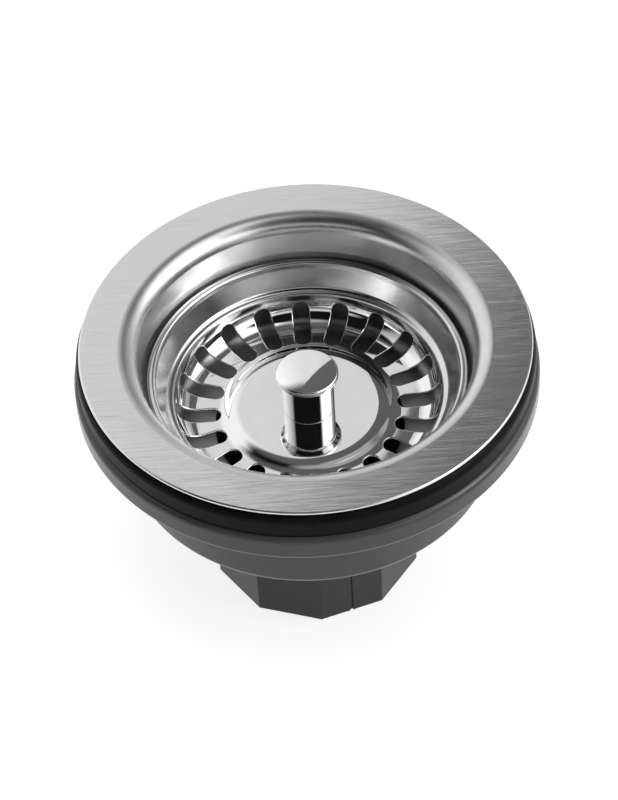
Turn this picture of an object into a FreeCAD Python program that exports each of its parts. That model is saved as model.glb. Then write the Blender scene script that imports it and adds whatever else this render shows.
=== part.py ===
import FreeCAD
import Part
import Sketcher
import math
import os
import re

# Basket strainer waste for a kitchen sink. Depths are measured down from the top of the flange,
# heights up from the bottom of the coupling nut, where the axis meets the origin. +Z is up.
doc = FreeCAD.newDocument("basket_strainer_waste")
sheet = doc.addObject("Spreadsheet::Sheet", "sizes")

DRIVING = {
    # flange and the dish pressed into it
    "top_height": 78.2,
    "flange_radius": 57.0,
    "flange_gauge": 1.0,
    "flange_edge_round": 0.5,
    "flange_width": 11.6,
    "shoulder_round": 3.0,
    "dish_depth": 31.2,
    "dish_taper": 9.9,
    "dish_floor_round": 3.5,
    "seat_radius": 20.8,
    "dimple_radius": 11.2,
    "dimple_drop": 4.0,
    "dimple_round": 1.5,
    "drain_count": 8,
    "drain_radius": 4.1,
    # seal under the flange
    "seal_height": 7.0,
    "seal_overhang": 0.9,
    "seal_inner_gap": 0.4,
    "seal_edge_round": 2.6,
    "seal_foot_round": 1.0,
    # plastic body
    "rim_overhang": 0.95,
    "rim_height": 7.1,
    "rim_round": 1.8,
    "rim_foot_round": 0.8,
    "bowl_outset": 2.3,
    "bowl_draft": 0.9,
    "bowl_depth": 37.7,
    "bowl_wall": 2.8,
    "bowl_foot_round": 1.6,
    "bowl_inner_round": 2.5,
    "funnel_fall": 6.6,
    "neck_round": 2.0,
    "collar_step": 1.3,
    "collar_height": 3.0,
    "boss_gap": 7.4,
    "boss_length": 14.6,
    "boss_floor": 2.0,
    "boss_wall": 2.8,
    "boss_round": 0.8,
    "arm_count": 4,
    "arm_width": 3.2,
    "arm_drop": 3.0,
    "arm_root": 1.4,
    # outlet and coupling nut
    "pipe_radius": 20.5,
    "pipe_clearance": 0.3,
    "pipe_stop_width": 1.5,
    "pipe_stop_gap": 2.0,
    "spigot_wall": 3.1,
    "nut_sides": 10,
    "nut_wall": 2.19,
    "nut_height": 20.5,
    "nut_lip": 2.6,
    "nut_thread_clearance": 0.2,
    "nut_edge_chamfer": 0.5,
    "nut_mouth_chamfer": 0.9,
    "parting_line_count": 2,
    "parting_line_width": 0.8,
    "parting_line_depth": 0.4,
    "outlet_washer_height": 2.0,
    "outlet_washer_gap": 0.3,
    # clamp screw, its washer and the insert it turns into
    "screw_radius": 5.0,
    "screw_bore_radius": 3.4,
    "screw_bore_chamfer": 0.6,
    "screw_head_radius": 8.5,
    "screw_head_height": 2.6,
    "screw_head_round": 0.6,
    "screw_slot_width": 2.0,
    "screw_slot_depth": 1.3,
    "screw_tip_gap": 0.8,
    "screw_hole_clearance": 0.4,
    "screw_washer_height": 1.0,
    "screw_washer_radius": 8.9,
    "screw_washer_clearance": 0.2,
    "insert_wall": 2.6,
    "insert_thread_clearance": 0.1,
    "insert_fit": 0.05,
    # strainer basket
    "basket_gauge": 0.7,
    "disc_lift": 7.0,
    "disc_radius": 19.2,
    "disc_step": 1.0,
    "disc_step_run": 3.0,
    "disc_step_round": 1.0,
    "basket_wall_gap": 1.3,
    "basket_floor_round": 5.8,
    "ledge_height": 6.7,
    "ledge_round": 0.85,
    "ledge_width": 1.7,
    "ledge_rise": 0.5,
    "ledge_heel_round": 1.6,
    "brim_height": 7.2,
    "brim_gap": 0.6,
    "brim_width": 2.3,
    "brim_drop": 1.6,
    "brim_lean": 0.4,
    "brim_round": 0.85,
    "slot_count": 20,
    "slot_width": 4.3,
    "slot_round": 2.0,
    "slot_disc_gap": 0.6,
    "slot_wall_gap": 0.3,
    "slot_turn": 1.1,
    # knob and stem
    "knob_height": 13.2,
    "knob_radius": 7.95,
    "knob_crown": 0.4,
    "knob_edge_height": 1.9,
    "knob_edge_round": 0.6,
    "knob_overhang": 1.35,
    "knob_neck_run": 0.9,
    "stud_radius": 2.1,
    "stud_length": 7.5,
    "stud_clearance": 0.2,
    "stud_end_gap": 0.8,
    "stem_radius": 3.1,
    "stem_length": 20.5,
    "stem_tip_round": 0.9,
    "stem_waist_radius": 2.6,
    "stem_waist_length": 4.0,
    "stem_waist_slope": 0.6,
    "stem_bulb_length": 3.2,
    "stem_slit_width": 1.2,
    "stem_slit_length": 12.0,
    "stem_flange_radius": 13.0,
    "stem_flange_height": 1.4,
    # rubber stopper
    "stopper_height": 3.0,
    "stopper_recess_gap": 0.4,
    "stopper_shoulder": 1.5,
    "stopper_root_gap": 2.5,
    "stopper_seat_overlap": 3.6,
    "stopper_lip_width": 2.0,
    "stopper_lip_height": 0.9,
    "stopper_round": 0.4,
}

DERIVED = {
    "mouth_radius": "flange_radius - flange_width",
    "dish_floor_radius": "mouth_radius - dish_taper",
    "dish_wall_slope": "dish_taper / dish_depth",
    "dimple_depth": "dish_depth + dimple_drop",
    "drain_pitch_radius": "(seat_radius + dimple_radius) / 2",
    "seal_radius": "flange_radius + seal_overhang",
    "seal_inner_radius": "mouth_radius + shoulder_round + seal_inner_gap",
    "rim_radius": "seal_radius + rim_overhang",
    "rim_top": "top_height - flange_gauge - seal_height",
    "rim_foot": "rim_top - rim_height",
    "bore_radius": "pipe_radius + pipe_clearance",
    "waterway_radius": "bore_radius - pipe_stop_width",
    "outlet_thread_radius": "bore_radius + spigot_wall",
    "collar_radius": "outlet_thread_radius + collar_step",
    "bowl_radius": "mouth_radius + bowl_outset",
    "bowl_inner_radius": "bowl_radius - bowl_wall",
    "bowl_foot": "top_height - bowl_depth",
    "funnel_slope": "funnel_fall / (bowl_radius - collar_radius)",
    "funnel_wall": "bowl_wall * sqrt(1 + funnel_slope ^ 2)",
    "funnel_inner_top": "bowl_foot + funnel_wall - funnel_slope * bowl_wall",
    "funnel_inner_foot": "bowl_foot + funnel_wall - funnel_slope * (bowl_radius - waterway_radius)",
    "collar_top": "bowl_foot - funnel_fall",
    "collar_foot": "collar_top - collar_height",
    "boss_depth": "dimple_depth + flange_gauge + boss_gap",
    "boss_top": "top_height - boss_depth",
    "boss_foot": "boss_top - boss_length",
    "socket_top": "boss_foot - pipe_stop_gap",
    "insert_length": "boss_length - boss_floor",
    "insert_radius": "screw_radius + insert_wall",
    "insert_pocket_radius": "insert_radius + insert_fit",
    "boss_radius": "insert_pocket_radius + boss_wall",
    "nut_bore_radius": "outlet_thread_radius + nut_thread_clearance",
    "nut_flat_radius": "nut_bore_radius + nut_wall",
    "nut_corner_radius": "nut_flat_radius / cos(180 / nut_sides)",
    "spigot_foot": "nut_lip + outlet_washer_height",
    "disc_depth": "dish_depth - disc_lift",
    "basket_floor_depth": "disc_depth + disc_step",
    "ledge_depth": "basket_floor_depth - ledge_height",
    "brim_depth": "ledge_depth - brim_height",
    "brim_foot_depth": "brim_depth + brim_drop",
    "brim_radius": "mouth_radius - dish_wall_slope * brim_foot_depth - brim_gap",
    "basket_wall_radius": "dish_floor_radius - basket_wall_gap",
    "slot_inner_radius": "disc_radius + disc_step_run + slot_disc_gap",
    "knob_depth": "disc_depth - knob_height",
    "knob_neck_radius": "knob_radius - knob_overhang",
    "stud_hole_radius": "stud_radius + stud_clearance",
    "stopper_top_depth": "disc_depth + basket_gauge",
    "stopper_foot_depth": "stopper_top_depth + stopper_height",
    "stopper_top_radius": "disc_radius - basket_gauge - stopper_recess_gap",
    "stopper_lip_radius": "seat_radius + stopper_seat_overlap",
    "stem_flange_depth": "stopper_foot_depth + stem_flange_height",
    "stem_tip_depth": "stem_flange_depth + stem_length",
    "stem_bulb_depth": "stem_tip_depth - stem_bulb_length",
    "stem_waist_depth": "stem_bulb_depth - stem_waist_length",
    "screw_seat_depth": "dimple_depth - screw_washer_height",
    "screw_tip_depth": "boss_depth + insert_length + screw_tip_gap",
}

for row, (alias, content) in enumerate({**DRIVING, **DERIVED}.items(), 1):
    sheet.set("A%d" % row, alias.replace("_", " "))
    sheet.set("B%d" % row, str(content) if alias in DRIVING else "=" + content)
    sheet.setAlias("B%d" % row, alias)
doc.recompute()


def bound(text):
    return re.sub(r"[a-z][a-z_]*", lambda word: "sizes." + word.group(0), text)


def number(text):
    return float(sheet.evalExpression(bound(text)))


def datum(body, role):
    return next(item for item in body.Origin.OriginFeatures if item.Role == role)


def new_body(label, height=None):
    body = doc.addObject("PartDesign::Body", label)
    body.Label = label
    if height:
        body.setExpression("Placement.Base.z", bound(height))
    return body


def sketch_in(body, name, role="XY_Plane", height=None, turn=None):
    sketch = body.newObject("Sketcher::SketchObject", name)
    sketch.AttachmentSupport = [(datum(body, role), "")]
    sketch.MapMode = "FlatFace"
    if height:
        sketch.setExpression("AttachmentOffset.Base.z", bound(height))
    if turn:
        sketch.setExpression("AttachmentOffset.Rotation.Angle", bound(turn))
    return sketch


def limit(sketch, kind, *place_and_size):
    *place, size = place_and_size
    index = sketch.addConstraint(Sketcher.Constraint(kind, *place, number(size)))
    sketch.setExpression("Constraints[%d]" % index, bound(size))


def pin_down(sketch, geometry, end, across, up):
    for kind, axis, size in (("DistanceX", -2, across), ("DistanceY", -1, up)):
        if size == "0":
            sketch.addConstraint(Sketcher.Constraint("PointOnObject", geometry, end, axis))
        else:
            limit(sketch, kind, -1, 1, geometry, end, size)


# Draws straight runs between named corners: (across, up) or (across, up, round), in the sheet's words.
# The lines pass through the corners and each round is tangent to both. The run that starts at
# corner number crown is an arc centred on the axis.
def draw(sketch, corners, closed=True, crown=None):
    count = len(corners)
    spots = [FreeCAD.Vector(number(corner[0]), number(corner[1]), 0) for corner in corners]
    rounds = [corner[2] if len(corner) > 2 else None for corner in corners]

    def tangent_spot(index, toward):
        if not rounds[index]:
            return spots[index]
        one = (spots[index - 1] - spots[index]).normalize()
        two = (spots[(index + 1) % count] - spots[index]).normalize()
        reach = number(rounds[index]) / math.tan(one.getAngle(two) / 2)
        return spots[index] + (spots[toward] - spots[index]).normalize() * reach

    for index in range(count if closed else count - 1):
        after = (index + 1) % count
        start, finish = tangent_spot(index, after), tangent_spot(after, index)
        if index == crown:
            rise = finish.y - start.y
            radius = (start.x ** 2 + rise ** 2) / (2 * rise)
            centre = FreeCAD.Vector(0, finish.y - radius, 0)
            middle = centre + ((start + finish) * 0.5 - centre).normalize() * radius
            sketch.addGeometry(Part.Arc(start, middle, finish), False)
            sketch.addConstraint(Sketcher.Constraint("PointOnObject", index, 3, -2))
        else:
            sketch.addGeometry(Part.LineSegment(start, finish), False)

    for index, corner in enumerate(corners):
        before = (index - 1) % count
        if not closed and index in (0, count - 1):
            pin_down(sketch, min(index, before) if index else 0, 2 if index else 1, corner[0], corner[1])
        elif not rounds[index]:
            sketch.addConstraint(Sketcher.Constraint("Coincident", before, 2, index, 1))
            pin_down(sketch, index, 1, corner[0], corner[1])
        else:
            start = tangent_spot(index, before)
            finish = tangent_spot(index, (index + 1) % count)
            inward = ((start + finish) * 0.5 - spots[index]).normalize()
            radius = number(rounds[index])
            middle = spots[index] + inward * (math.hypot((start - spots[index]).Length, radius) - radius)
            arc = sketch.addGeometry(Part.Arc(start, middle, finish), False)
            apex = sketch.addGeometry(Part.Point(spots[index]), True)
            turn = (spots[index] - spots[before]).cross(spots[(index + 1) % count] - spots[index]).z
            first, last = (1, 2) if turn > 0 else (2, 1)
            sketch.addConstraint(Sketcher.Constraint("Tangent", before, 2, arc, first))
            sketch.addConstraint(Sketcher.Constraint("Tangent", arc, last, index, 1))
            limit(sketch, "Radius", arc, rounds[index])
            pin_down(sketch, apex, 1, corner[0], corner[1])
            sketch.addConstraint(Sketcher.Constraint("PointOnObject", apex, 1, before))
            sketch.addConstraint(Sketcher.Constraint("PointOnObject", apex, 1, index))
    return sketch


def draw_circle(sketch, radius, across="0", up="0"):
    centre = FreeCAD.Vector(number(across), number(up), 0)
    ring = sketch.addGeometry(Part.Circle(centre, FreeCAD.Vector(0, 0, 1), number(radius)), False)
    pin_down(sketch, ring, 3, across, up)
    limit(sketch, "Radius", ring, radius)
    return sketch


# Rectangle centred on the sketch's upright axis.
def draw_bar(sketch, width, foot, top, rounding=None):
    left, right = "-%s / 2" % width, "%s / 2" % width
    ends = (rounding,) if rounding else ()
    return draw(sketch, [(left, foot) + ends, (right, foot) + ends, (right, top) + ends, (left, top) + ends])


def turned(label, corners, height=None, crown=None):
    body = new_body(label, height)
    profile = draw(sketch_in(body, label + "_profile", "XZ_Plane"), corners, crown=crown)
    turn = body.newObject("PartDesign::Revolution", label + "_turn")
    turn.Profile = profile
    turn.ReferenceAxis = (profile, ["V_Axis"])
    turn.Angle = 360
    doc.recompute()
    return body


# Sheet metal: an open line along the upper face, thickened downwards and spun round the axis.
def pressed(label, corners, gauge, height):
    path = doc.addObject("Sketcher::SketchObject", label + "_path")
    path.Placement.Rotation = FreeCAD.Rotation(FreeCAD.Vector(1, 0, 0), 90)
    draw(path, corners, closed=False)
    strip = doc.addObject("Part::Offset2D", label + "_strip")
    strip.Source = path
    strip.setExpression("Value", "-" + bound(gauge))
    strip.Mode = "Skin"
    strip.Fill = True
    spun = doc.addObject("Part::Revolution", label + "_spun")
    spun.Source = strip
    spun.Axis = FreeCAD.Vector(0, 0, 1)
    spun.Angle = 360
    spun.Solid = True
    doc.recompute()
    body = new_body(label, height)
    body.BaseFeature = spun
    doc.recompute()
    return body


def raise_up(body, sketch, height):
    pad = body.newObject("PartDesign::Pad", sketch.Name + "_pad")
    pad.Profile = sketch
    pad.setExpression("Length", bound(height))
    doc.recompute()
    return pad


# Cuts a sketch out of the body, right through unless a depth is given, and makes sure it takes metal.
def cut(body, sketch, depth=None):
    before = body.Shape.Volume
    pocket = body.newObject("PartDesign::Pocket", sketch.Name + "_cut")
    pocket.Profile = sketch
    if depth:
        pocket.setExpression("Length", bound(depth))
    else:
        pocket.Type = "ThroughAll"
        pocket.Midplane = True
    doc.recompute()
    if body.Shape.Volume > before - 0.01:
        raise ValueError(sketch.Name + " cuts nothing")
    return pocket


def around(body, feature, count):
    ring = body.newObject("PartDesign::PolarPattern", feature.Name + "_ring")
    ring.Originals = [feature]
    ring.Axis = (datum(body, "Z_Axis"), [""])
    ring.Angle = 360
    ring.setExpression("Occurrences", bound(count))
    body.Tip = ring
    doc.recompute()
    return ring


def ring_edges(body, radius, up):
    found = []
    for index, edge in enumerate(body.Tip.Shape.Edges, 1):
        if edge.Degenerated or not isinstance(edge.Curve, Part.Circle):
            continue
        ring = edge.Curve
        if abs(ring.Radius - number(radius)) < 1e-4 and abs(ring.Center.z - number(up)) < 1e-4:
            found.append("Edge%d" % index)
    return found


def dress(body, kind, name, edges, size):
    base = body.Tip
    dressing = body.newObject("PartDesign::" + kind, name)
    dressing.Base = (base, edges)
    dressing.setExpression("Radius" if kind == "Fillet" else "Size", bound(size))
    body.Tip = dressing
    doc.recompute()
    return dressing


# Sink flange: flat rim, rounded shoulder, tapering dish, flat seat for the stopper and a dimple
# for the clamp screw, with drain holes through the slope between seat and dimple.
sink_flange = pressed("sink_flange", [
    ("screw_radius + screw_hole_clearance", "-dimple_depth"),
    ("dimple_radius", "-dimple_depth", "dimple_round"),
    ("seat_radius", "-dish_depth", "dimple_round"),
    ("dish_floor_radius", "-dish_depth", "dish_floor_round"),
    ("mouth_radius", "0", "shoulder_round"),
    ("flange_radius", "0"),
], "flange_gauge", "top_height")
rim_edge = ring_edges(sink_flange, "flange_radius", "0")
dress(sink_flange, "Fillet", "flange_edge", rim_edge, "flange_edge_round")
drain = draw_circle(sketch_in(sink_flange, "drain"), "drain_radius", up="drain_pitch_radius")
around(sink_flange, cut(sink_flange, drain), "drain_count")

# Flange seal: one thick rubber ring with a rounded outer edge, from the body's rim up to the flange.
flange_seal = turned("flange_seal", [
    ("seal_inner_radius", "0"),
    ("seal_radius", "0", "seal_foot_round"),
    ("seal_radius", "seal_height", "seal_edge_round"),
    ("seal_inner_radius", "seal_height"),
], "rim_top")

# Plastic body: clamping rim, drafted bowl, funnel, collar and outlet spigot, all one moulding. A step
# inside the spigot stops the pipe short of the arms.
waste_body = turned("waste_body", [
    ("bore_radius", "spigot_foot"),
    ("outlet_thread_radius", "spigot_foot"),
    ("outlet_thread_radius", "collar_foot"),
    ("collar_radius", "collar_foot"),
    ("collar_radius", "collar_top", "neck_round"),
    ("bowl_radius", "bowl_foot", "bowl_foot_round"),
    ("bowl_radius + bowl_draft", "rim_foot", "rim_foot_round"),
    ("rim_radius", "rim_foot", "rim_foot_round"),
    ("rim_radius", "rim_top", "rim_round"),
    ("bowl_inner_radius + bowl_draft", "rim_top"),
    ("bowl_inner_radius", "funnel_inner_top", "bowl_inner_round"),
    ("waterway_radius", "funnel_inner_foot", "neck_round"),
    ("waterway_radius", "socket_top"),
    ("bore_radius", "socket_top"),
])
# Four arms across the outlet carry the boss that the clamp screw pulls on.
arm = sketch_in(waste_body, "arm", height="boss_foot")
draw_bar(arm, "arm_width", "0", "waterway_radius + arm_root")
around(waste_body, raise_up(waste_body, arm, "boss_length - arm_drop"), "arm_count")
boss = draw_circle(sketch_in(waste_body, "boss", height="boss_foot"), "boss_radius")
raise_up(waste_body, boss, "boss_length")
boss_edge = ring_edges(waste_body, "boss_radius", "boss_top")
dress(waste_body, "Fillet", "boss_round_edge", boss_edge, "boss_round")
pocket = draw_circle(sketch_in(waste_body, "insert_pocket", height="boss_top"), "insert_pocket_radius")
cut(waste_body, pocket, "insert_length")
relief = sketch_in(waste_body, "screw_relief", height="boss_top")
draw_circle(relief, "screw_radius + screw_hole_clearance")
cut(waste_body, relief, "boss_length")

# Coupling nut: a polygon with one corner to the front, a lip below that holds the washer, and a
# plain wall where the outlet's thread runs.
coupling_nut = new_body("coupling_nut")
outline = sketch_in(coupling_nut, "nut_outline")
sides = int(number("nut_sides"))
corner_radius = number("nut_corner_radius")
nut_corners = []
for side in range(sides):
    angle = 2 * math.pi * side / sides - math.pi / 2
    nut_corners.append(FreeCAD.Vector(math.cos(angle), math.sin(angle), 0) * corner_radius)
for side in range(sides):
    outline.addGeometry(Part.LineSegment(nut_corners[side], nut_corners[(side + 1) % sides]), False)
guide = outline.addGeometry(Part.Circle(FreeCAD.Vector(), FreeCAD.Vector(0, 0, 1), corner_radius), True)
outline.addConstraint(Sketcher.Constraint("Coincident", guide, 3, -1, 1))
limit(outline, "Radius", guide, "nut_corner_radius")
for side in range(sides):
    outline.addConstraint(Sketcher.Constraint("Coincident", side, 2, (side + 1) % sides, 1))
    outline.addConstraint(Sketcher.Constraint("PointOnObject", side, 1, guide))
    if side:
        outline.addConstraint(Sketcher.Constraint("Equal", 0, side))
outline.addConstraint(Sketcher.Constraint("PointOnObject", 0, 1, -2))
raise_up(coupling_nut, outline, "nut_height")
level_edges = []
for index, edge in enumerate(coupling_nut.Tip.Shape.Edges, 1):
    if abs(edge.Vertexes[0].Z - edge.Vertexes[-1].Z) < 1e-6:
        level_edges.append("Edge%d" % index)
dress(coupling_nut, "Chamfer", "nut_edges", level_edges, "nut_edge_chamfer")
way = draw(sketch_in(coupling_nut, "nut_way", "XZ_Plane"), [
    ("0", "0"),
    ("bore_radius", "0"),
    ("bore_radius", "nut_lip"),
    ("nut_bore_radius", "nut_lip"),
    ("nut_bore_radius", "nut_height - nut_mouth_chamfer"),
    ("nut_bore_radius + nut_mouth_chamfer", "nut_height"),
    ("0", "nut_height"),
])
bored = coupling_nut.newObject("PartDesign::Groove", "nut_bored")
bored.Profile = way
bored.ReferenceAxis = (way, ["V_Axis"])
bored.Angle = 360
doc.recompute()
# Parting lines of the mould, on the face to the right of the front corner and opposite it.
seam = sketch_in(coupling_nut, "parting_line", turn="180 + 180 / nut_sides")
draw_bar(seam, "parting_line_width", "nut_flat_radius - parting_line_depth", "nut_corner_radius")
around(coupling_nut, cut(coupling_nut, seam), "parting_line_count")

outlet_washer = turned("outlet_washer", [
    ("bore_radius", "0"),
    ("nut_bore_radius - outlet_washer_gap", "0"),
    ("nut_bore_radius - outlet_washer_gap", "outlet_washer_height"),
    ("bore_radius", "outlet_washer_height"),
], "nut_lip")

# Clamp screw: slotted head on its washer in the dimple, hollow to take the basket's stem.
clamp_screw = turned("clamp_screw", [
    ("screw_bore_radius", "-screw_tip_depth"),
    ("screw_radius", "-screw_tip_depth"),
    ("screw_radius", "-screw_seat_depth"),
    ("screw_head_radius", "-screw_seat_depth"),
    ("screw_head_radius", "-screw_seat_depth + screw_head_height", "screw_head_round"),
    ("screw_bore_radius + screw_bore_chamfer", "-screw_seat_depth + screw_head_height"),
    ("screw_bore_radius", "-screw_seat_depth + screw_head_height - screw_bore_chamfer"),
], "top_height")
slot = sketch_in(clamp_screw, "screw_slot", height="-screw_seat_depth + screw_head_height")
slot_end = "screw_head_radius + screw_slot_width"
draw_bar(slot, "screw_slot_width", "-(%s)" % slot_end, slot_end)
cut(clamp_screw, slot, "screw_slot_depth")

screw_washer = turned("screw_washer", [
    ("screw_radius + screw_washer_clearance", "-dimple_depth"),
    ("screw_washer_radius", "-dimple_depth"),
    ("screw_washer_radius", "-screw_seat_depth"),
    ("screw_radius + screw_washer_clearance", "-screw_seat_depth"),
], "top_height")

thread_insert = turned("thread_insert", [
    ("screw_radius + insert_thread_clearance", "-insert_length"),
    ("insert_radius", "-insert_length"),
    ("insert_radius", "0"),
    ("screw_radius + insert_thread_clearance", "0"),
], "boss_top")

# Strainer basket: raised disc with sloping sides, flat floor that sweeps up into the wall, narrow
# ledge, steep brim and a rolled edge. The slots run out along the floor and on up the curve.
basket = pressed("basket", [
    ("stud_hole_radius", "-disc_depth"),
    ("disc_radius", "-disc_depth", "disc_step_round"),
    ("disc_radius + disc_step_run", "-basket_floor_depth", "disc_step_round"),
    ("basket_wall_radius", "-basket_floor_depth", "basket_floor_round"),
    ("basket_wall_radius", "-ledge_depth", "ledge_round"),
    ("basket_wall_radius + ledge_width", "-ledge_depth + ledge_rise", "ledge_heel_round"),
    ("brim_radius - brim_width", "-brim_foot_depth", "brim_round"),
    ("brim_radius - brim_width + brim_lean", "-brim_depth", "brim_round"),
    ("brim_radius", "-brim_depth", "brim_round"),
    ("brim_radius", "-brim_foot_depth"),
], "basket_gauge", "top_height")
slit = sketch_in(basket, "slot", turn="slot_turn")
draw_bar(slit, "slot_width", "slot_inner_radius", "basket_wall_radius - slot_wall_gap", "slot_round")
around(basket, cut(basket, slit), "slot_count")

# Knob: crowned head on a thick neck that stands on the disc, with a blind hole for the stem's stud.
knob = turned("knob", [
    ("stud_hole_radius", "-disc_depth"),
    ("knob_neck_radius", "-disc_depth"),
    ("knob_neck_radius", "-knob_depth - knob_edge_height - knob_neck_run"),
    ("knob_radius", "-knob_depth - knob_edge_height", "knob_edge_round"),
    ("knob_radius", "-knob_depth - knob_crown"),
    ("0", "-knob_depth"),
    ("0", "-disc_depth + stud_length + stud_end_gap"),
    ("stud_hole_radius", "-disc_depth + stud_length + stud_end_gap"),
], "top_height", crown=4)
knob_edge = ring_edges(knob, "knob_radius", "-knob_depth - knob_crown")
dress(knob, "Fillet", "knob_round_edge", knob_edge, "knob_edge_round")

# Stem: stud for the knob, flange under the stopper, and a split spigot with a waist and a bulb that
# springs into the clamp screw.
stem = turned("stem", [
    ("0", "-stem_tip_depth"),
    ("stem_radius", "-stem_tip_depth", "stem_tip_round"),
    ("stem_radius", "-stem_bulb_depth"),
    ("stem_waist_radius", "-stem_bulb_depth + stem_waist_slope"),
    ("stem_waist_radius", "-stem_waist_depth"),
    ("stem_radius", "-stem_waist_depth + stem_waist_slope"),
    ("stem_radius", "-stem_flange_depth"),
    ("stem_flange_radius", "-stem_flange_depth"),
    ("stem_flange_radius", "-stopper_foot_depth"),
    ("stem_radius", "-stopper_foot_depth"),
    ("stem_radius", "-stopper_top_depth"),
    ("stud_radius", "-stopper_top_depth"),
    ("stud_radius", "-disc_depth + stud_length"),
    ("0", "-disc_depth + stud_length"),
], "top_height")
split = sketch_in(stem, "stem_split", "XZ_Plane")
draw_bar(split, "stem_slit_width", "-stem_tip_depth - stem_slit_width", "-stem_tip_depth + stem_slit_length")
cut(stem, split)

# Stopper: rubber plug held up in the disc's hollow, with a lip that spreads onto the dish's seat.
stopper = turned("stopper", [
    ("stem_radius", "-stopper_foot_depth"),
    ("stem_flange_radius + stopper_root_gap", "-stopper_foot_depth"),
    ("stopper_lip_radius - stopper_lip_width", "-dish_depth"),
    ("stopper_lip_radius", "-dish_depth"),
    ("stopper_lip_radius", "-dish_depth + stopper_lip_height", "stopper_round"),
    ("stopper_top_radius", "-stopper_top_depth - stopper_shoulder", "stopper_round"),
    ("stopper_top_radius", "-stopper_top_depth", "stopper_round"),
    ("stem_radius", "-stopper_top_depth"),
], "top_height")

pieces = [sink_flange, flange_seal, waste_body, coupling_nut, outlet_washer, clamp_screw, screw_washer,
          thread_insert, basket, knob, stem, stopper]
doc.recompute()
broken = [item.Label for item in doc.Objects if "Invalid" in item.State or "Error" in item.State]
for piece in pieces:
    if piece.Shape.isNull() or not piece.Shape.isValid() or len(piece.Shape.Solids) != 1:
        broken.append(piece.Label)
if broken:
    raise ValueError("not built: " + ", ".join(broken))

os.makedirs("parts", exist_ok=True)
for piece in pieces:
    piece.Shape.exportStep("parts/%s.step" % piece.Label)
    print("%s %.1f cubic mm" % (piece.Label, piece.Shape.Volume))
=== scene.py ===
import math
import bpy
import numpy as np
from mathutils import Matrix, Vector
from mathutils.geometry import delaunay_2d_cdt


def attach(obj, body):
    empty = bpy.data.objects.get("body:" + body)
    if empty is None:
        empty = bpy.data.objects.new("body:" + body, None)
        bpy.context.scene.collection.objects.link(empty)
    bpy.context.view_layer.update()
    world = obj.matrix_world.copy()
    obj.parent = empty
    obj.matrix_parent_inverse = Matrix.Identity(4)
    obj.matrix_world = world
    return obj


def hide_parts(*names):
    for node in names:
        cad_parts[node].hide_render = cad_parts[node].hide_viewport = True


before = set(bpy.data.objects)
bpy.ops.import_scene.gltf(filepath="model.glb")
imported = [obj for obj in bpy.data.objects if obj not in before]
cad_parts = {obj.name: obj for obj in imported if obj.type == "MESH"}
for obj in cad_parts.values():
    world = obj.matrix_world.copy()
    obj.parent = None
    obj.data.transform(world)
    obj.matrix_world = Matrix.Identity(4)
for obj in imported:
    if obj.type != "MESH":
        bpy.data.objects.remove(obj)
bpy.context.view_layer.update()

top = 78.2           # flange's upper face above the foot of the nut, mm
divisions = 240      # steps round the axis
scene = bpy.context.scene
scene.view_settings.view_transform = "Standard"
print("frame loaded:", len(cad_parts), "nodes")


# share of a run that its two rounds may take, turn that counts as straight, largest turn and run in a step
rounding = dict(share=0.98, straight=0.02, turn=0.13, run=0.3)


# runs between (radius, height, round) corners, each corner softened; gives radius, height and normal
def roundedPath(corners, closed=True, soft=0.15, side=1):
    spots = np.array([corner[:2] for corner in corners], float)
    into = spots - np.roll(spots, 1, 0)
    away = np.roll(into, -1, 0)
    if not closed:
        into[0], away[-1] = away[0], into[-1]
    starts = np.arctan2(into[:, 1], into[:, 0])
    turns = (np.arctan2(away[:, 1], away[:, 0]) - starts + np.pi) % (2 * np.pi) - np.pi
    slopes = np.tan(np.abs(turns) / 2)
    radii = np.array([corner[2] if len(corner) > 2 else soft for corner in corners], float)
    taken = radii * slopes
    room = rounding["share"] * np.hypot(*away.T) / np.maximum(taken + np.roll(taken, -1), 1e-9)
    radii *= np.minimum(1, np.minimum(room, np.roll(room, 1)))     # two rounds share the run between them
    path = []
    for here, start, turn, slope, radius in zip(spots, starts, turns, slopes, radii):
        if abs(turn) < rounding["straight"]:
            path.append((*here, side * math.sin(start + turn / 2), -side * math.cos(start + turn / 2)))
            continue
        bend = math.copysign(radius, turn)
        ahead = np.array((math.cos(start), math.sin(start)))
        centre = here - ahead * radius * slope - bend * np.array((ahead[1], -ahead[0]))
        steps = max(3, math.ceil(abs(turn) / rounding["turn"]),
                    math.ceil(abs(turn) * radius / rounding["run"]))
        for heading in np.linspace(start, start + turn, steps + 1):
            right = np.array((math.sin(heading), -math.cos(heading)))
            path.append((*(centre + bend * right), *(side * right)))
    return np.array(path)


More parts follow.
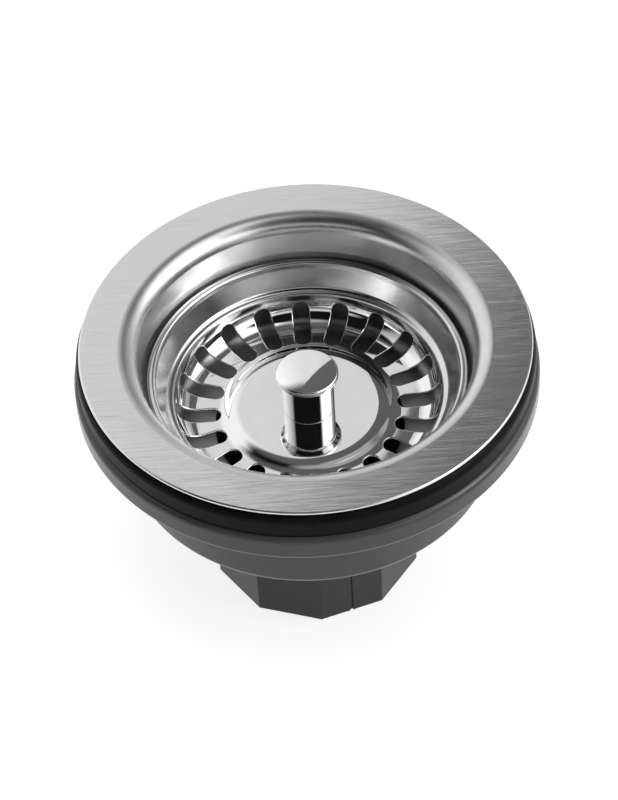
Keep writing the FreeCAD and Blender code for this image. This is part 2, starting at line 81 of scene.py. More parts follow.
class Skin:    # collects points, normals and faces in mm and makes one mesh of them
    def __init__(self):
        self.points, self.normals, self.faces = [], [], []
        self.count = 0

    def add(self, points, normals):
        self.points.append(np.asarray(points, float).reshape(-1, 3))
        self.normals.append(np.asarray(normals, float).reshape(-1, 3))
        self.count += len(self.points[-1])
        return np.arange(self.count - len(self.points[-1]), self.count)

    def ring(self, angles, radius, height, outward, upward):
        across, along = np.cos(angles), np.sin(angles)
        flat = np.ones_like(angles)
        return self.add(np.column_stack((radius * across, radius * along, height * flat)),
                        np.column_stack((outward * across, outward * along, upward * flat)))

    def join(self, low, high):     # a closed band of faces between two loops
        self.faces.append(np.column_stack((low, np.roll(low, -1), np.roll(high, -1), high)))

    def spin(self, path, closed=True):
        angles = 2 * np.pi * np.arange(divisions) / divisions
        rings = []
        for radius, height, outward, upward in path:
            if radius < 1e-6:
                rings.append(np.repeat(self.add((0, 0, height), (0, 0, math.copysign(1, upward))), divisions))
            else:
                rings.append(self.ring(angles, radius, height, outward, upward))
        for low, high in zip(rings, rings[1:] + rings[:1] if closed else rings[1:]):
            self.join(low, high)
        return rings

    def make(self, name, body, slot, finishes, nodes=(), zone=None):
        used, faces = np.unique(np.concatenate(self.faces), return_inverse=True)
        faces = faces.reshape(-1, 4)
        points, normals = np.concatenate(self.points)[used], np.concatenate(self.normals)[used]
        corners, ways = points[faces], normals[faces].mean(1)
        seen = np.cross(corners[:, 2] - corners[:, 0], corners[:, 3] - corners[:, 1])
        turned = np.sum(seen * ways, axis=1) < 0     # each face looks the way its normals do
        faces[turned] = faces[turned][:, ::-1]
        mesh = bpy.data.meshes.new(name)
        whole = np.all(faces != np.roll(faces, 1, axis=1), axis=1)
        order = np.concatenate((np.flatnonzero(whole), np.flatnonzero(~whole)))
        rows = faces[whole].tolist()
        rows += [[v for i, v in enumerate(row) if v != row[i - 1]] for row in faces[~whole].tolist()]
        mesh.from_pydata((points * 0.001).tolist(), [], rows, shade_flat=False)
        for finish in finishes:
            mesh.materials.append(finish)
        if zone:
            mesh.polygons.foreach_set("material_index", zone(corners.mean(1), ways)[order].astype(np.int32))
        mesh.normals_split_custom_set_from_vertices(normals.tolist())
        piece = bpy.data.objects.new(name, mesh)
        scene.collection.objects.link(piece)
        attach(piece, body)
        if nodes:
            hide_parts(*nodes)
        print("made", name, len(mesh.polygons), "faces")


# sheet metal: a line along its upper side given a thickness, with a ring of holes that have soft edges
def pressSheet(skin, path, gauge, holes):
    runs = np.concatenate(([0], np.cumsum(np.hypot(*np.diff(path[:, :2], axis=0).T))))

    def at(s):
        radius, height, outward, upward = [np.interp(s, runs, path[:, c]) for c in range(4)]
        size = np.hypot(outward, upward)
        return radius, height, outward / size, upward / size

    rising = np.argmax(np.diff(path[:, 0]) < 1e-6) or len(path) - 1     # last row before the line turns up

    def reach(radius):     # how far along the line a radius comes
        return np.interp(radius, path[:rising + 1, 0], runs[:rising + 1])

    first, last = reach(holes["from"]), reach(holes["to"]) + holes["beyond"]
    band = np.linspace(first, last, max(4, math.ceil((last - first) / holes["grid"])))
    near = 0.001     # rows closer than this to the holes' band are left out
    before, after = runs < first - near, runs > last + near
    stations = np.concatenate((runs[before], band, runs[after]))
    low = int(np.sum(before))
    high = low + len(band) - 1
    turn = math.radians(holes["turn"]) - math.pi / holes["count"]
    angles = turn + 2 * np.pi * np.arange(divisions) / divisions

    def sides(s, down):
        radius, height, outward, upward = at(s)
        return radius - outward * down, height - upward * down, outward, upward

    upper = [skin.ring(angles, *sides(s, 0)) for s in stations]
    lower = []
    for s in stations:
        radius, height, outward, upward = sides(s, gauge)
        lower.append(skin.ring(angles, radius, height, -outward, -upward))

    def edge(s, way):     # half-round edge of the sheet
        radius, height, outward, upward = sides(s, gauge / 2)
        loops = []
        for swing in np.linspace(0, np.pi, 9)[1:-1]:
            across = outward * math.cos(swing) + way * upward * math.sin(swing)
            along = upward * math.cos(swing) - way * outward * math.sin(swing)
            loops.append(skin.ring(angles, radius + across * gauge / 2, height + along * gauge / 2,
                                   across, along))
        return loops

    outerEdge = edge(stations[-1], 1)
    loops = upper + outerEdge + lower[::-1] + edge(stations[0], -1)[::-1]
    openBands = set(range(low, high))     # left open for the holes, above and below
    mirrored = 2 * len(stations) + len(outerEdge) - 1
    openBands |= {mirrored - 1 - i for i in openBands}
    for i in range(len(loops)):
        if i not in openBands:
            skin.join(loops[i], loops[(i + 1) % len(loops)])

    # outline of one hole: sideways distance, and distance along the sheet
    aside, along = np.array(holes["outline"], float).T
    outline = np.column_stack((aside, reach(np.hypot(aside, along))))
    ahead = np.roll(outline, -1, 0) - np.roll(outline, 1, 0)
    outwards = np.column_stack((ahead[:, 1], -ahead[:, 0])) / np.hypot(*ahead.T)[:, None]
    if np.sum(outwards * (outline - outline.mean(0))) < 0:
        outwards = -outwards
    soft = holes["soft"]

    def spread(distance, depth):     # the outline grown by a distance, at a depth in the sheet
        grown = outline + outwards * distance
        radius, height, outward, upward = at(grown[:, 1])
        angle = np.arcsin(grown[:, 0] / radius)
        place = np.column_stack((radius - outward * depth, np.zeros_like(radius), height - upward * depth))
        normal = np.column_stack((outward, np.zeros_like(radius), upward))
        return grown, angle, turned(place, angle), turned(normal, angle)

    def turned(rows, angle):
        return np.column_stack((rows[:, 0] * np.cos(angle) - rows[:, 1] * np.sin(angle),
                                rows[:, 0] * np.sin(angle) + rows[:, 1] * np.cos(angle), rows[:, 2]))

    inward = spread(0, 0)[2] - spread(soft, 0)[2]
    inward /= np.linalg.norm(inward, axis=1)[:, None]
    walls = []
    for face, swings in ((1, np.linspace(0, np.pi / 2, 5)), (-1, np.linspace(np.pi / 2, 0, 5))):
        for swing in swings:
            sunk = soft * (1 - math.cos(swing))
            place, normal = spread(soft * (1 - math.sin(swing)), sunk if face > 0 else gauge - sunk)[2:]
            walls.append((place, face * normal * math.cos(swing) + inward * math.sin(swing)))

    # triangles between the rings and the hole, worked out once and repeated round the axis
    mouth, mouthAngle = spread(soft, 0)[:2]
    perHole = divisions // holes["count"]
    swing = np.pi / holes["count"]
    scale = at(0.5 * (first + last))[0]
    spots, keys = [], []
    for i in range(low, high + 1):
        for j in range(perHole + 1):
            angle = -swing + 2 * swing * j / perHole
            here = np.array((at(stations[i])[0] * math.sin(angle), stations[i]))
            rim = i in (low, high) or j in (0, perHole)
            if rim or (not inside(here, mouth) and np.min(np.hypot(*(mouth - here).T)) > holes["margin"]):
                spots.append((angle * scale, stations[i]))
                keys.append((i, j))
    begin = len(spots)
    spots += list(zip(mouthAngle * scale, mouth[:, 1]))
    links = [(begin + i, begin + (i + 1) % len(mouth)) for i in range(len(mouth))]
    places, _, triangles, origins, _, _ = delaunay_2d_cdt([Vector(p) for p in spots], links, [], 0, 1e-7)
    ring = np.array(spots[begin:])
    kept = []
    for triangle in triangles:
        middle = np.mean([places[v] for v in triangle], axis=0)
        if not inside(middle, ring):
            kept.append([origins[v][0] for v in (*triangle, triangle[2])])
    upper, lower, keys = np.array(upper), np.array(lower), np.array(keys)
    for k in range(holes["count"]):
        spin = np.full(len(outline), turn + swing + 2 * swing * k)
        loops = [skin.add(turned(place, spin), turned(normal, spin)) for place, normal in walls]
        for one, two in zip(loops, loops[1:]):
            skin.join(one, two)
        for rows, loop in ((upper, loops[0]), (lower, loops[-1])):
            numbers = np.concatenate((rows[keys[:, 0], (k * perHole + keys[:, 1]) % divisions], loop))
            skin.faces.append(numbers[kept])


def inside(spot, ring):     # is a spot inside a closed ring of points
    x, y = ring.T
    nextX, nextY = np.roll(x, -1), np.roll(y, -1)
    crossing = (y > spot[1]) != (nextY > spot[1])
    with np.errstate(divide="ignore", invalid="ignore"):
        where = (nextX - x) * (spot[1] - y) / (nextY - y) + x
    return bool(np.sum(crossing & (spot[0] < where)) % 2)


class Wire:    # one socket of a shader; sums and products of wires add Math nodes
    def __init__(self, tree, socket=None):
        self.tree, self.socket = tree, socket

    def node(self, kind, settings=None, inputs=None, give=0):
        made = self.tree.nodes.new("ShaderNode" + kind)
        for name, value in (settings or {}).items():
            setattr(made, name, value)
        for name, value in (inputs or {}).items():
            if isinstance(value, Wire):
                self.tree.links.new(value.socket, made.inputs[name])
            else:
                made.inputs[name].default_value = value
        return Wire(self.tree, made.outputs[give])

    def maths(self, operation, one, two=0.0):
        return self.node("Math", {"operation": operation}, {0: one, 1: two})

    def __add__(self, other):
        return self.maths("ADD", self, other)

    def __sub__(self, other):
        return self.maths("SUBTRACT", self, other)

    def __rsub__(self, other):
        return self.maths("SUBTRACT", other, self)

    def __mul__(self, other):
        return self.maths("MULTIPLY", self, other)

    __radd__ = __add__
    __rmul__ = __mul__

    def step(self, low, high):     # 0 below low, 1 above high, smooth between
        return self.node("MapRange", {"interpolation_type": "SMOOTHSTEP"},
                         {"Value": self, "From Min": low, "From Max": high})

    def band(self, begins, full, fades, gone):     # 1 from full to fades, soft on both sides
        return self.step(begins, full) * (1 - self.step(fades, gone))

    def noise(self, scale, detail, rough=0.5):     # self is a place; scale is one number for each axis
        spread = self.node("Mapping", {}, {"Vector": self, "Scale": scale})
        return self.node("TexNoise", {}, {"Vector": spread, "Scale": 1.0, "Detail": detail,
                                          "Roughness": rough})

    def blend(self, one, two):     # self is the share of the second colour
        return self.node("Mix", {"data_type": "RGBA"}, {0: self, 6: one, 7: two}, give=2)


def newFinish(name, fixed, recipe):
    material = bpy.data.materials.new(name)
    material.use_nodes = True
    tree = material.node_tree
    shader = tree.nodes["Principled BSDF"]
    for socket, value in fixed.items():
        shader.inputs[socket].default_value = value
    wire = Wire(tree)
    for socket, value in recipe(wire, wire.node("TexCoord", give="Object")).items():
        tree.links.new(value.socket, shader.inputs[socket])
    return material


def bumped(wire, height, depth, strength):     # depth in metres
    return wire.node("Bump", {}, {"Strength": strength, "Distance": depth, "Height": height})


def grey(level):
    return level, level, level, 1


steel, darkSteel = grey(0.63), grey(0.56)
brushing = dict(hairLean=0.36, lineLean=0.014, dark=grey(0.67), light=grey(0.69))


def rimBrushing(wire, place):     # straight fine lines along X, which spread reflections across them only
    hairs = place.noise((120, 40000, 120), 0.0)
    lines = place.noise((40, 1700, 40), 2.0, 0.6)
    scuffs = place.noise((180, 260, 180), 4.0, 0.6).step(0.55, 0.8)
    tilt = (hairs - 0.5) * brushing["hairLean"] + (lines - 0.5) * brushing["lineLean"]
    lean = wire.node("CombineXYZ", {}, {1: tilt})
    normal = wire.node("NewGeometry", give="Normal")
    facing = wire.node("VectorMath", {"operation": "ADD"}, {0: normal, 1: lean})
    return {"Base Color": lines.step(0.1, 0.9).blend(brushing["dark"], brushing["light"]),
            "Roughness": 0.17 + 0.05 * lines + 0.06 * scuffs,
            "Normal": wire.node("VectorMath", {"operation": "NORMALIZE"}, {0: facing})}


def dishPolishAndPaintedShade(wire, place):      # satin shoulder and polished wall; the rougher floor below is painted darker as painted shade in the hollow under the basket
    cloud = place.noise((90, 90, 90), 3.0)
    height = wire.node("SeparateXYZ", {}, {0: place}, give=2)
    shoulder, wall = height.step(0.074, 0.0795), height.step(0.050, 0.057)     # metres above the foot
    shade = cloud.step(0.3, 0.7).blend(darkSteel, steel)
    # painted shade: below the wall the colour drops to grey 0.34, standing for the dark hollow deep in the
    # dish
    return {"Base Color": wall.blend(grey(0.34), shade),
            "Roughness": 0.36 - 0.14 * wall + 0.06 * shoulder + 0.08 * cloud}


def mirrorPolish(wire, place):
    smears = place.noise((120, 60, 120), 4.0, 0.6)
    specks = place.noise((2500, 2500, 2500), 2.0).step(0.66, 0.76)
    return {"Base Color": smears.step(0.2, 0.8).blend(grey(0.70), grey(0.76)),
            "Roughness": 0.02 + 0.04 * smears + 0.08 * specks,
            "Normal": bumped(wire, place.noise((220, 220, 220), 1.0), 0.00002, 0.15)}


def brimSatin(wire, place):
    cloud = place.noise((140, 140, 140), 3.0)
    grain = place.noise((3000, 3000, 3000), 2.0)
    return {"Base Color": cloud.step(0.3, 0.7).blend(darkSteel, steel),
            "Roughness": 0.15 + 0.08 * cloud,
            "Normal": bumped(wire, grain, 0.00001, 0.2)}


def chromePlate(wire, place):
    haze = place.noise((300, 300, 300), 3.0)
    return {"Base Color": haze.step(0.2, 0.8).blend(grey(0.80), grey(0.84)),
            "Roughness": 0.015 + 0.04 * haze,
            "Normal": bumped(wire, haze, 0.00001, 0.1)}


def sealRubber(wire, place):
    bloom = place.noise((150, 150, 300), 4.0, 0.6)
    grain = place.noise((4000, 4000, 4000), 2.0)
    return {"Base Color": bloom.step(0.35, 0.75).blend(grey(0.002), grey(0.006)),
            "Roughness": 0.30 + 0.14 * bloom,
            "Normal": bumped(wire, grain, 0.00002, 0.25)}


def bodyMoulding(wire, place):
    flow = place.noise((30, 30, 90), 3.0, 0.55)
    grain = place.noise((2200, 2200, 2200), 3.0)
    return {"Base Color": flow.step(0.3, 0.7).blend((0.030, 0.030, 0.031, 1), (0.042, 0.042, 0.043, 1)),
            "Roughness": 0.16 + 0.10 * flow + 0.04 * grain,
            "Normal": bumped(wire, grain, 0.00002, 0.25)}


def nutMoulding(wire, place):
    flow = place.noise((50, 50, 40), 3.0, 0.55)
    grain = place.noise((1800, 1800, 1800), 3.0)
    return {"Base Color": flow.step(0.3, 0.7).blend((0.018, 0.018, 0.019, 1), (0.026, 0.026, 0.027, 1)),
            "Roughness": 0.24 + 0.10 * flow + 0.05 * grain,
            "Normal": bumped(wire, grain, 0.00003, 0.3)}


def turnedMetal(dark, light):
    def recipe(wire, place):
        rings = place.noise((200, 200, 9000), 2.0)
        return {"Base Color": rings.step(0.3, 0.7).blend(dark, light), "Roughness": 0.22 + 0.16 * rings,
                "Normal": bumped(wire, rings, 0.00001, 0.3)}
    return recipe


def palePlastic(wire, place):
    flow = place.noise((200, 200, 80), 3.0)
    return {"Base Color": flow.step(0.3, 0.7).blend((0.70, 0.69, 0.66, 1), (0.80, 0.79, 0.76, 1)),
            "Roughness": 0.32 + 0.15 * flow,
            "Normal": bumped(wire, flow, 0.00003, 0.2)}


metal = {"Metallic": 1.0}
rimSteel = newFinish("rimSteel", metal, rimBrushing)
dishSteel = newFinish("dishSteel", metal, dishPolishAndPaintedShade)
basketSteel = newFinish("basketSteel", metal, mirrorPolish)
brimSteel = newFinish("brimSteel", metal, brimSatin)
knobChrome = newFinish("knobChrome", metal, chromePlate)
rubber = newFinish("rubber", {"Metallic": 0.0, "IOR": 1.5, "Specular IOR Level": 0.06}, sealRubber)
bodyPlastic = newFinish("bodyPlastic", {"IOR": 1.5, "Specular IOR Level": 0.4}, bodyMoulding)
nutPlastic = newFinish("nutPlastic", {"IOR": 1.5, "Specular IOR Level": 0.3}, nutMoulding)
screwSteel = newFinish("screwSteel", metal, turnedMetal((0.50, 0.49, 0.47, 1), (0.60, 0.59, 0.57, 1)))
insertBrass = newFinish("insertBrass", metal, turnedMetal((0.66, 0.49, 0.23, 1), (0.76, 0.58, 0.30, 1)))
stemPlastic = newFinish("stemPlastic", {"Metallic": 0.0, "IOR": 1.5}, palePlastic)
print("finishes ready:", len(bpy.data.materials))


flange = dict(gauge=1.0, bore=5.4, floor=-35.2, outer=57.0, rimFrom=47.2,
              bends=[(11.2, -35.2, 1.5), (20.8, -31.2, 1.5), (35.5, -31.2, 3.5), (41.55, -12.0, 8.0),
                     (42.95, 0, 4.7)],
              drains=8, drain=4.1, pitch=16.0, drainSteps=72)


def makeFlange():
    skin = Skin()
    half = flange["gauge"] / 2     # the line stops half a gauge short of the sheet's edges
    line = [(flange["bore"] + half, flange["floor"]), *flange["bends"], (flange["outer"] - half, 0)]
    path = roundedPath(line, closed=False, side=-1)
    path[:, 1] += top
    swings = np.linspace(0, 2 * np.pi, flange["drainSteps"], endpoint=False)
    ring = np.column_stack((flange["drain"] * np.sin(swings),
                            flange["pitch"] + flange["drain"] * np.cos(swings)))
    pressSheet(skin, path, flange["gauge"], {
        "outline": ring, "count": flange["drains"], "turn": 0, "from": 11.3, "to": 20.7, "beyond": 0,
        "grid": 0.45, "soft": 0.2, "margin": 0.2})

    def inDish(centres, ways):     # everything but the upper side and the edge of the flat rim
        return (np.hypot(centres[:, 0], centres[:, 1]) < flange["rimFrom"]) | (ways[:, 2] < -0.2)

    skin.make("sinkFlange", "waste", "flange_steel", [rimSteel, dishSteel], ["sink_flange"], inDish)


makeFlange()

basket = dict(gauge=0.7, bore=2.3, disc=-24.2, brim=40.71, lip=-12.9, mirrorTo=33.95, wall=34.2,
              floorRound=5.8,
              bends=[(19.2, -24.2, 9.5), (22.2, -25.2, 8.5), (34.2, -25.2, 5.8), (34.2, -18.5, 0.85),
                     (35.9, -18.0, 1.6), (38.41, -12.9, 0.85), (38.81, -11.3, 0.85), (40.71, -11.3, 0.85)],
              slots=20, slotTurn=1.1, slotWidth=4.3, slotEnd=2.0, slotFrom=22.8, slotTo=33.9,
              cornerPoints=9, pointEvery=0.35)


def slotOutline():     # a slot with round ends as laid on the sheet, given by its place seen from above
    half, end, bend = basket["slotWidth"] / 2, basket["slotEnd"], basket["floorRound"]
    start = basket["wall"] - bend
    low, high = basket["slotFrom"], start + bend * math.asin((basket["slotTo"] - start) / bend)
    points, filled = [], []
    for across, along, turn in ((half - end, high - end, 0), (end - half, high - end, 90),
                                (end - half, low + end, 180), (half - end, low + end, 270)):
        for swing in np.radians(np.linspace(turn, turn + 90, basket["cornerPoints"])):
            points.append(np.array((across + end * math.cos(swing), along + end * math.sin(swing))))
    for one, two in zip(points, points[1:] + points[:1]):     # long runs get more points
        steps = max(1, round(math.dist(one, two) / basket["pointEvery"]))
        filled += [one + (two - one) * i / steps for i in range(steps)]
    return [(across, along if along < start else start + bend * math.sin((along - start) / bend))
            for across, along in filled]


def makeBasket():
    skin = Skin()
    half = basket["gauge"] / 2
    line = [(basket["bore"] + half, basket["disc"]), *basket["bends"], (basket["brim"], basket["lip"] + half)]
    path = roundedPath(line, closed=False, side=-1)
    path[:, 1] += top
    pressSheet(skin, path, basket["gauge"], {
        "outline": slotOutline(), "count": basket["slots"], "turn": basket["slotTurn"],
        "from": 22.5, "to": 33.9, "beyond": 0.7, "grid": 0.4, "soft": 0.34, "margin": 0.18})

    def onBrim(centres, ways):
        return np.hypot(centres[:, 0], centres[:, 1]) > basket["mirrorTo"]

    skin.make("strainerBasket", "strainer", "basket_steel", [basketSteel, brimSteel], ["basket"], onBrim)


makeBasket()

knob = dict(radius=7.95, neck=6.6, head=-11.0, edge=1.9, run=0.9, crown=0.6, foot=-24.2, stud=2.3, hole=8.3,
            domeFrom=7.0, domeSteps=15)


def makeKnob():
    skin = Skin()
    under = knob["head"] - knob["edge"]
    sphere = (knob["radius"] ** 2 + knob["crown"] ** 2) / (2 * knob["crown"])
    dome = [(r, knob["head"] - sphere + math.sqrt(sphere ** 2 - r * r))
            for r in np.linspace(knob["domeFrom"], 0, knob["domeSteps"])]
    line = [(0, knob["foot"] + knob["hole"]), (knob["stud"], knob["foot"] + knob["hole"]),
            (knob["stud"], knob["foot"]), (knob["neck"], knob["foot"], 0.2),
            (knob["neck"], under - knob["run"], 0.5), (knob["radius"], under, 0.6),
            (knob["radius"], knob["head"] - knob["crown"], 0.6)] + dome
    raised = [(radius, height + top, *soft) for radius, height, *soft in line]
    skin.spin(roundedPath(raised, closed=False, soft=0.12), closed=False)
    skin.make("liftKnob", "strainer", "knob_chrome", [knobChrome], ["knob"])


makeKnob()

seal = dict(inner=48.8, outer=57.9, foot=70.2, height=7.0, edge=2.6, heel=1.0)


def makeSeal():
    skin = Skin()
    low, high = seal["foot"], seal["foot"] + seal["height"]
    skin.spin(roundedPath([(seal["inner"], low), (seal["outer"], low, seal["heel"]),
                           (seal["outer"], high, seal["edge"]), (seal["inner"], high)]))
    skin.make("flangeSeal", "waste", "seal_rubber", [rubber], ["flange_seal"])


makeSeal()

shell = dict(rim=58.85, rimTop=70.2, rimFoot=63.1, bowl=47.7, draft=0.9, bowlFoot=40.5, wall=2.8,
             collar=25.2, collarTop=33.9, collarFoot=30.9, spigotFoot=4.6, bore=20.8, waterway=19.3,
             socket=18.0, innerTop=42.60, innerFoot=35.09)
thread = dict(root=22.45, crest=23.9, pitch=2.309, lead=0.5, relief=0.3, rows=18, flat=0.07, flank=0.30,
              fade=1.6, probe=0.02)


def threadWall(skin, low, high):     # rows of a helical thread that fades out at both ends
    root, crest, pitch, probe = (thread[name] for name in ("root", "crest", "pitch", "probe"))
    angles = 2 * np.pi * np.arange(divisions) / divisions
    heights = np.linspace(low, high, round((high - low) / pitch * thread["rows"]))

    def radius(angle, height):
        phase = ((height - low) / pitch - angle / (2 * np.pi)) % 1
        tooth = np.clip((0.5 - np.abs(phase - 0.5) - thread["flat"]) / thread["flank"], 0, 1)
        fade = np.clip(np.minimum(height - low, high - height) / thread["fade"], 0, 1)
        return root + (crest - root) * tooth * tooth * (3 - 2 * tooth) * fade

    rows = []
    for height in heights:
        reach = radius(angles, height)
        slope = (radius(angles, height + probe) - radius(angles, height - probe)) / (2 * probe)
        normal = np.column_stack((np.cos(angles), np.sin(angles), -slope)) / np.sqrt(1 + slope ** 2)[:, None]
        rows.append(skin.add(np.column_stack((reach * np.cos(angles), reach * np.sin(angles),
                                              np.full_like(angles, height))), normal))
    for one, two in zip(rows, rows[1:]):
        skin.join(one, two)
    return rows


def makeShell():
    s, skin = shell, Skin()
    inner, root = s["bowl"] - s["wall"], thread["root"]
    low, high = s["spigotFoot"] + thread["lead"], s["collarFoot"] - thread["relief"]
    line = [(root, high), (root, s["collarFoot"]), (s["collar"], s["collarFoot"], 0.4),
            (s["collar"], s["collarTop"], 2.0), (s["bowl"], s["bowlFoot"], 2.6),
            (s["bowl"] + s["draft"], s["rimFoot"], 0.8), (s["rim"], s["rimFoot"], 1.3),
            (s["rim"], s["rimTop"], 1.8), (inner + s["draft"], s["rimTop"], 0.3),
            (inner, s["innerTop"], 2.5), (s["waterway"], s["innerFoot"], 2.0),
            (s["waterway"], s["socket"], 0.3), (s["bore"], s["socket"], 0.3),
            (s["bore"], s["spigotFoot"], 0.3), (root, s["spigotFoot"], 0.4), (root, low)]
    rings = skin.spin(roundedPath(line, closed=False), closed=False)
    rows = threadWall(skin, low, high)
    skin.join(rings[-1], rows[0])
    skin.join(rows[-1], rings[0])
    skin.make("wasteShell", "waste", "body_plastic", [bodyPlastic], ["waste_body"])


makeShell()

boss = dict(radius=10.45, foot=20.0, top=34.6, pocket=7.65, floor=2.0, relief=5.4, arms=4, armWidth=3.2,
            armTop=31.6, armTo=20.2, armSunk=0.5)


def makeBoss():
    b, skin = boss, Skin()
    skin.spin(roundedPath([(b["relief"], b["foot"]), (b["radius"], b["foot"], 0.4),
                           (b["radius"], b["top"], 0.8), (b["pocket"], b["top"]),
                           (b["pocket"], b["foot"] + b["floor"]), (b["relief"], b["foot"] + b["floor"])]))
    half = b["armWidth"] / 2
    section = roundedPath([(-half, b["foot"], 0.4), (half, b["foot"], 0.4), (half, b["armTop"], 0.4),
                           (-half, b["armTop"], 0.4)])
    for arm in range(b["arms"]):
        angle = math.pi / 2 + arm * 2 * math.pi / b["arms"]
        out = np.array((math.cos(angle), math.sin(angle), 0))
        aside = np.array((-math.sin(angle), math.cos(angle), 0))
        rows = [skin.add(out * reach + np.outer(section[:, 0], aside) + np.outer(section[:, 1], (0, 0, 1)),
                         np.outer(section[:, 2], aside) + np.outer(section[:, 3], (0, 0, 1)))
                for reach in (b["radius"] - b["armSunk"], b["armTo"])]
        skin.join(*rows)
    skin.make("screwBoss", "waste", "body_plastic", [bodyPlastic])


makeBoss()

nut = dict(sides=10, corner=27.64, height=20.5, cornerRound=0.45, edge=0.5, bore=24.1, lip=2.6, lipBore=20.8,
           mouth=0.9, grooveWidth=0.8, grooveDepth=0.4, grooveFloor=0.7, grooved=(0, 5), flatReach=6.5,
           flatPoints=8, soft=0.1, land=0.1, mouthLand=0.5, lipLand=0.6)


def nutOutline():     # corners and grooves of the nut seen from above, with the way each point looks
    flat = nut["corner"] * math.cos(math.pi / nut["sides"])
    half, deep = nut["grooveWidth"] / 2, flat - nut["grooveDepth"]
    corners = []
    for side in range(nut["sides"]):
        angle = -math.pi / 2 + 2 * math.pi * side / nut["sides"]
        corners.append((nut["corner"] * math.cos(angle), nut["corner"] * math.sin(angle), nut["cornerRound"]))
        middle = angle + math.pi / nut["sides"]
        out = np.array((math.cos(middle), math.sin(middle)))
        aside = np.array((-math.sin(middle), math.cos(middle)))
        spread = np.linspace(-nut["flatReach"], nut["flatReach"], nut["flatPoints"])
        stops = [(flat, x) for x in spread if side not in nut["grooved"] or abs(x) > 2 * half]
        if side in nut["grooved"]:
            stops += [(flat, -half), (deep, -half * nut["grooveFloor"]),
                      (deep, half * nut["grooveFloor"]), (flat, half)]
        for reach, across in sorted(stops, key=lambda stop: stop[1]):
            corners.append((*(out * reach + aside * across), nut["soft"]))
    return roundedPath(corners)


def makeNut():
    n, skin = nut, Skin()
    outline = nutOutline()
    angles = np.arctan2(outline[:, 1], outline[:, 0])
    flat = np.ones(len(outline))
    rows = []

    def outer(inset, height, outward, upward):     # one row round the outside, drawn in by a distance
        rows.append(skin.add(np.column_stack((outline[:, :2] - outline[:, 2:] * inset, flat * height)),
                             np.column_stack((outline[:, 2:] * outward, flat * upward))))

    side = [(0, 0), (n["edge"], n["edge"]), (n["edge"], n["height"] - n["edge"]), (0, n["height"])]
    for reach, height, outward, upward in roundedPath(side, closed=False, soft=0.35):
        outer(n["edge"] - reach, height, outward, upward)
    outer(n["edge"] + n["land"], n["height"], 0, 1)
    hollow = [(n["bore"] + n["mouth"] + n["mouthLand"], n["height"]), (n["bore"] + n["mouth"], n["height"]),
              (n["bore"], n["height"] - n["mouth"]), (n["bore"], n["lip"]), (n["lipBore"], n["lip"]),
              (n["lipBore"], 0), (n["lipBore"] + n["lipLand"], 0)]
    rows += [skin.ring(angles, *row) for row in roundedPath(hollow, closed=False)]
    outer(n["edge"] + n["land"], 0, 0, -1)
    for one, two in zip(rows, rows[1:] + rows[:1]):
        skin.join(one, two)
    skin.make("couplingNut", "waste", "nut_plastic", [nutPlastic], ["coupling_nut"])


makeNut()

fittings = dict(outlet_washer=rubber, clamp_screw=screwSteel, screw_washer=rubber, thread_insert=insertBrass,
                stem=stemPlastic, stopper=rubber)
for node, finish in fittings.items():     # solids that are right as they are
    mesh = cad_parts[node].data
    mesh.materials.clear()
    mesh.materials.append(finish)
print("fittings finished:", len(fittings))


studio = dict(floorLevel=-0.00005, floorSize=60.0, floorGrey=0.3, floorGlow=0.8, lampSize=1.2, lampHeight=1.6,
              lampPower=20.0)


def makeFloor():
    half, level = studio["floorSize"] / 2, studio["floorLevel"]
    corners = [(-half, -half, level), (half, -half, level), (half, half, level), (-half, half, level)]
    mesh = bpy.data.meshes.new("floor")
    mesh.from_pydata(corners, [], [(0, 1, 2, 3)])
    floor = bpy.data.objects.new("floor", mesh)
    scene.collection.objects.link(floor)
    material = bpy.data.materials.new("floorPaint")
    material.use_nodes = True
    tree = material.node_tree
    wire = Wire(tree)
    shader = tree.nodes["Principled BSDF"]
    shader.inputs["Roughness"].default_value = 0.9
    shader.inputs["Base Color"].default_value = grey(studio["floorGrey"])
    shader.inputs["Specular IOR Level"].default_value = 0.0
    shader.inputs["Emission Strength"].default_value = 1.0
    direct, glossy, clear = (wire.node("LightPath", give=f"Is {ray} Ray")
                             for ray in ("Camera", "Glossy", "Transmission"))
    glow = (direct + glossy + clear).step(0.0, 1.0).blend(grey(0), grey(studio["floorGlow"]))
    tree.links.new(glow.socket, shader.inputs["Emission Color"])     # seen as white, but lights nothing
    mesh.materials.append(material)


# edges in degrees to the side and of rise: begins, full, fades, gone
sky = dict(
    boxes=[dict(side=(2, 28, 56, 66), rise=(-91, -90, 50, 60), level=0.45),      # between left and right
           dict(side=(88, 96, 112, 120), rise=(14, 22, 44, 52), level=5.0),      # hot middle of the right box
           dict(side=(8, 24, 56, 66), rise=(54, 62, 76, 86), level=0.45),        # high on the right
           dict(side=(-60, -20, 8, 24), rise=(53, 63, 76, 86), level=0.12)],     # high at the back
    left=dict(side=(-112, -98, 2, 28), rise=(-91, -90, 53, 61), level=0.5, swell=0.7, fall=0.33),
    right=dict(begins=(56, 66), ends=(144, 158), drawnIn=26, rise=(6, 14, 76, 86), level=1.7),
    front=dict(away=(128, 146), rise=(24, 29, 35, 40), level=0.8),
    horizon=dict(back=0.45, front=0.35), zenith=0.45, dark=0.008)


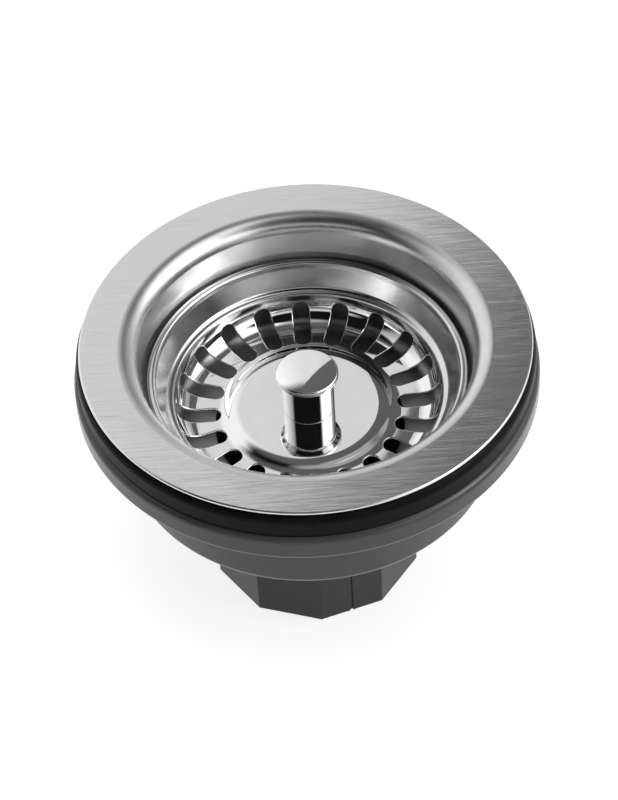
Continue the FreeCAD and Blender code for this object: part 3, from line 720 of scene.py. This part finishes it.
def makeSky():     # soft boxes left, right and above, a low one in front, a white horizon and a grey zenith
    world = bpy.data.worlds.new("studio")
    scene.world = world
    world.use_nodes = True
    tree = world.node_tree
    wire = Wire(tree)
    way = wire.node("TexCoord", give="Generated")
    x, y, z = (wire.node("SeparateXYZ", {}, {0: way}, give=i) for i in range(3))
    side = x.maths("ARCTAN2", x, y) * (180 / math.pi)          # 0 is straight behind, + to the right
    rise = z.maths("ARCSINE", z) * (180 / math.pi)
    away = side.maths("ABSOLUTE", side)
    left, right, front, horizon = sky["left"], sky["right"], sky["front"], sky["horizon"]
    level = sky["dark"] + sky["zenith"] * rise.step(76, 86)
    for box in sky["boxes"]:
        level = level + side.band(*box["side"]) * rise.band(*box["rise"]) * box["level"]
    grade = left["level"] + left["swell"] * side.step(-105, -55) - left["fall"] * side.step(-24, 0)
    level = level + side.band(*left["side"]) * rise.band(*left["rise"]) * grade
    farEdge = 1 - (side + right["drawnIn"] * rise.step(38, 46)).step(*right["ends"])     # nearer higher up
    level = level + side.step(*right["begins"]) * farEdge * rise.band(*right["rise"]) * right["level"]
    level = level + away.step(*front["away"]) * rise.band(*front["rise"]) * front["level"]
    haze = (1 - rise.step(2, 13)) * (horizon["back"] + horizon["front"] * away.step(105, 130))
    for floorLight in (haze, 1 - rise.step(4, 8)):
        level = level.maths("MAXIMUM", level, floorLight)
    shade = wire.node("CombineXYZ", {}, {0: level, 1: level, 2: level})
    tree.links.new(shade.socket, tree.nodes["Background"].inputs["Color"])


# corners in degrees to the side and of rise, seen from a point above the foot
card = dict(corners=((-33, 70.2), (17.2, 27), (46, 33.7), (24, 76)), reach=0.5, above=0.07,
            grey=0.02, glow=0.12)


def hangFlag():     # dark card, seen only in the metal
    corners = []
    for side, rise in np.radians(card["corners"]):
        way = Vector((math.sin(side) * math.cos(rise), math.cos(side) * math.cos(rise), math.sin(rise)))
        corners.append(Vector((0, 0, card["above"])) + way * card["reach"])
    mesh = bpy.data.meshes.new("flag")
    mesh.from_pydata(corners, [], [(0, 1, 2, 3)])
    flag = bpy.data.objects.new("flag", mesh)
    scene.collection.objects.link(flag)
    material = bpy.data.materials.new("flagCloth")
    material.use_nodes = True
    shader = material.node_tree.nodes["Principled BSDF"]
    shader.inputs["Base Color"].default_value = grey(card["grey"])
    shader.inputs["Roughness"].default_value = 1.0
    shader.inputs["Emission Color"].default_value = grey(card["glow"])
    shader.inputs["Emission Strength"].default_value = 1.0
    mesh.materials.append(material)
    flag.visible_camera = flag.visible_diffuse = flag.visible_shadow = False


def hangLamp():     # soft overhead lamp for the floor and the plastic, kept out of the metal's reflections
    lamp = bpy.data.lights.new("overhead", "AREA")
    lamp.size, lamp.energy = studio["lampSize"], studio["lampPower"]
    piece = bpy.data.objects.new("overhead", lamp)
    piece.location = (0, 0, studio["lampHeight"])
    piece.visible_glossy = False
    scene.collection.objects.link(piece)


makeFloor()
makeSky()
hangFlag()
hangLamp()

view = dict(place=(0.00008, -0.5197, 0.6206), lookDown=47.3752, roll=-3.4312, lens=135, sensor=36,
            nearest=0.01)


def placeCamera():
    tilt, roll = math.radians(view["lookDown"]), math.radians(view["roll"])
    right, up = Vector((1, 0, 0)), Vector((0, math.sin(tilt), math.cos(tilt)))
    back = Vector((0, -math.cos(tilt), math.sin(tilt)))
    across, above = right * math.cos(roll) + up * math.sin(roll), up * math.cos(roll) - right * math.sin(roll)
    lens = bpy.data.cameras.new("camera")
    lens.lens, lens.sensor_width, lens.clip_start = view["lens"], view["sensor"], view["nearest"]
    camera = bpy.data.objects.new("camera", lens)
    facing = Matrix((across, above, back)).transposed().to_4x4()
    camera.matrix_world = Matrix.Translation(view["place"]) @ facing
    scene.collection.objects.link(camera)
    scene.camera = camera


placeCamera()
print("studio set")

bpy.context.view_layer.update()
